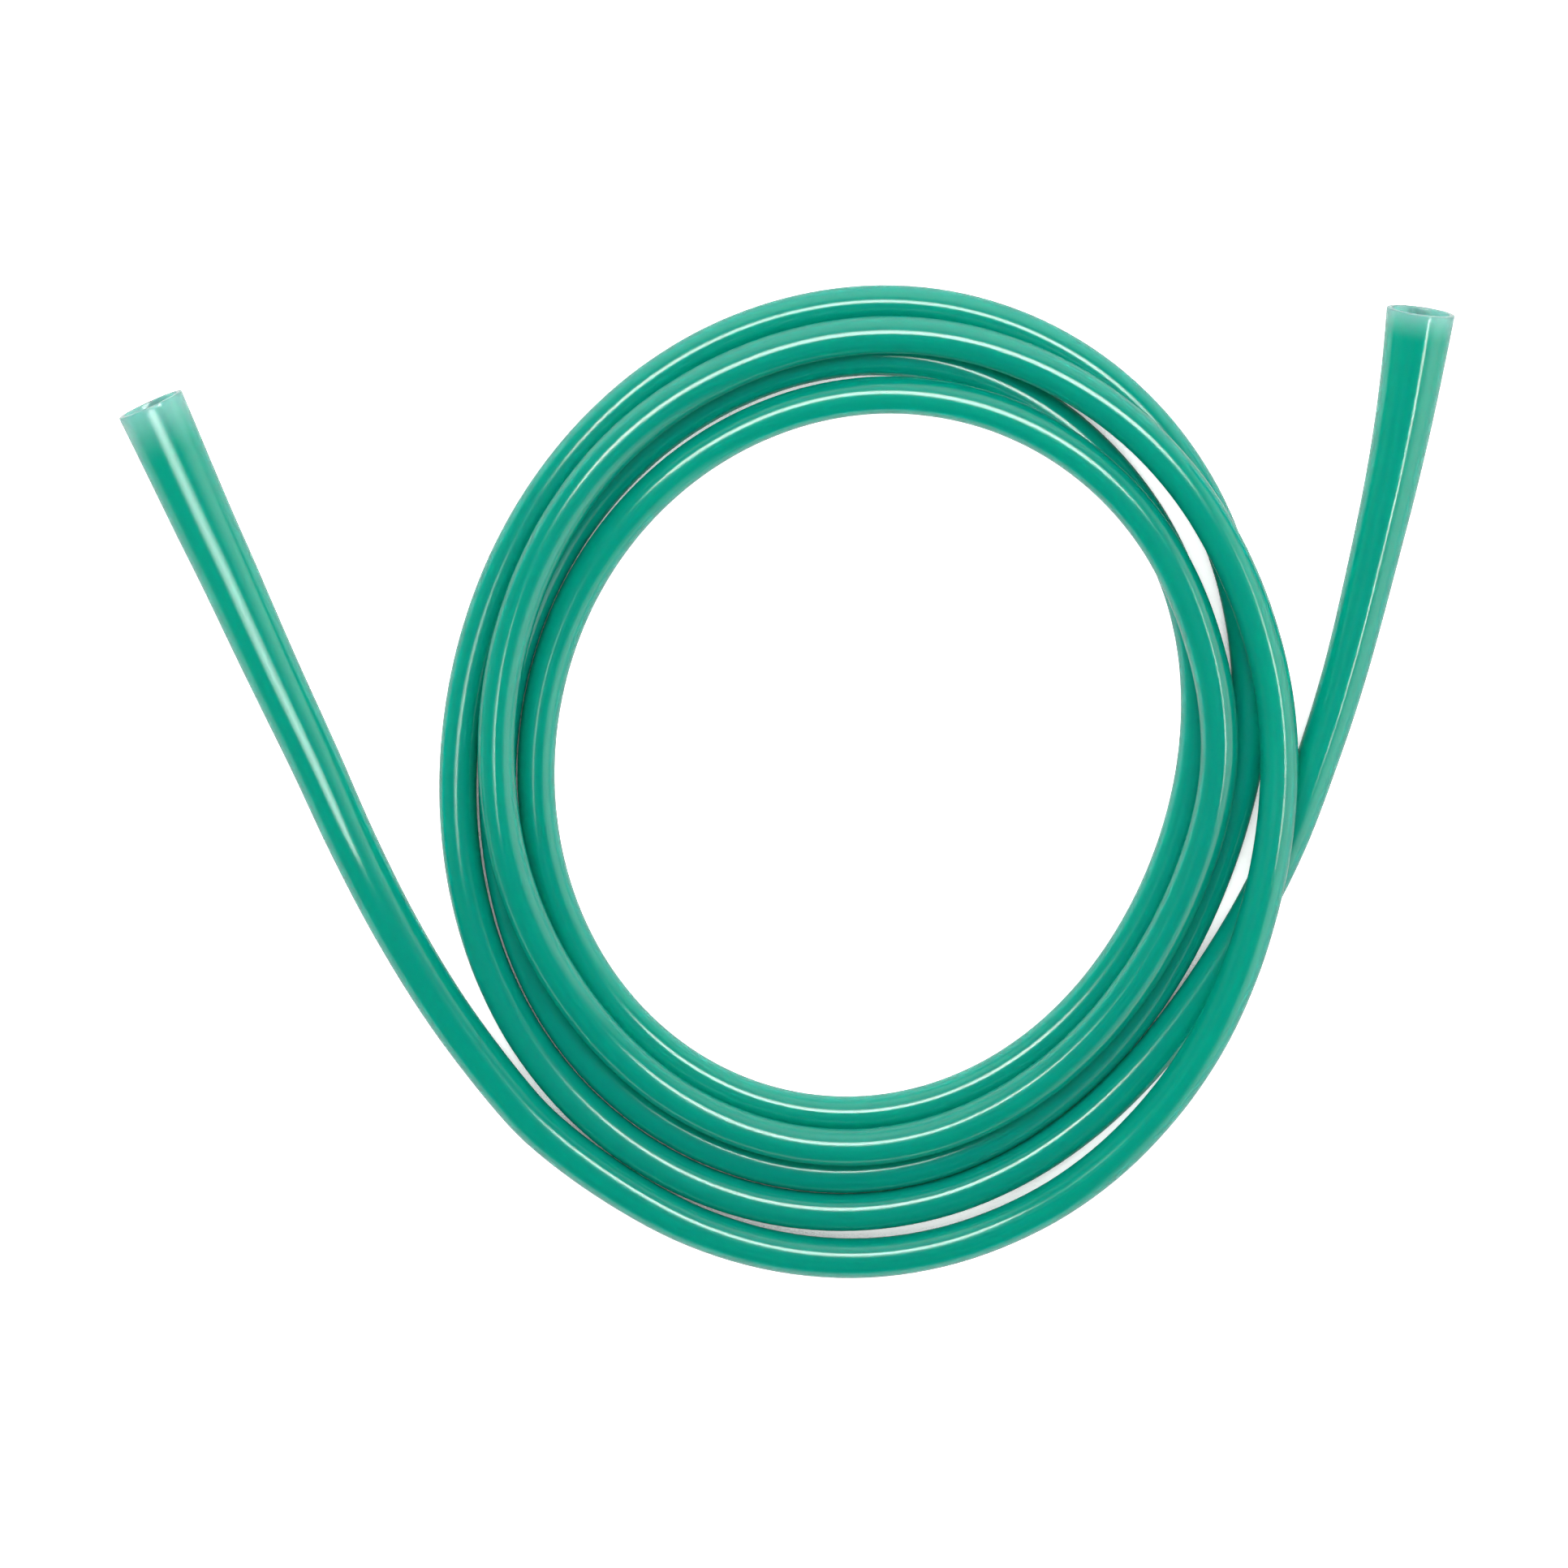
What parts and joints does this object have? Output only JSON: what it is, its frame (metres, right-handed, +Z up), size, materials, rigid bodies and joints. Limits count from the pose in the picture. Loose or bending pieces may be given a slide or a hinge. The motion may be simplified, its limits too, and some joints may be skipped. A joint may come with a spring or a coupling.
{
  "type": "oxygen tubing",
  "caption": "Length of clear green plastic tubing, coiled loosely and laid flat, open at both ends, that carries oxygen from an outlet to a mask or cannula.",
  "frame": {"origin": "On the floor that the coil lies on, under the middle of its box.", "axes": "+Z is up, out of the flat coil. +X runs from the left mouth towards the right one, the longest way across. +Y is the way that both mouths face."},
  "size_m": [0.2306, 0.1733, 0.0139],
  "materials": {
    "clear_green_vinyl": "glossy, see-through, tinted sea green"
  },
  "bodies": {
    "root": {"oxygen_tube": "clear_green_vinyl"}
  },
  "joints": []
}
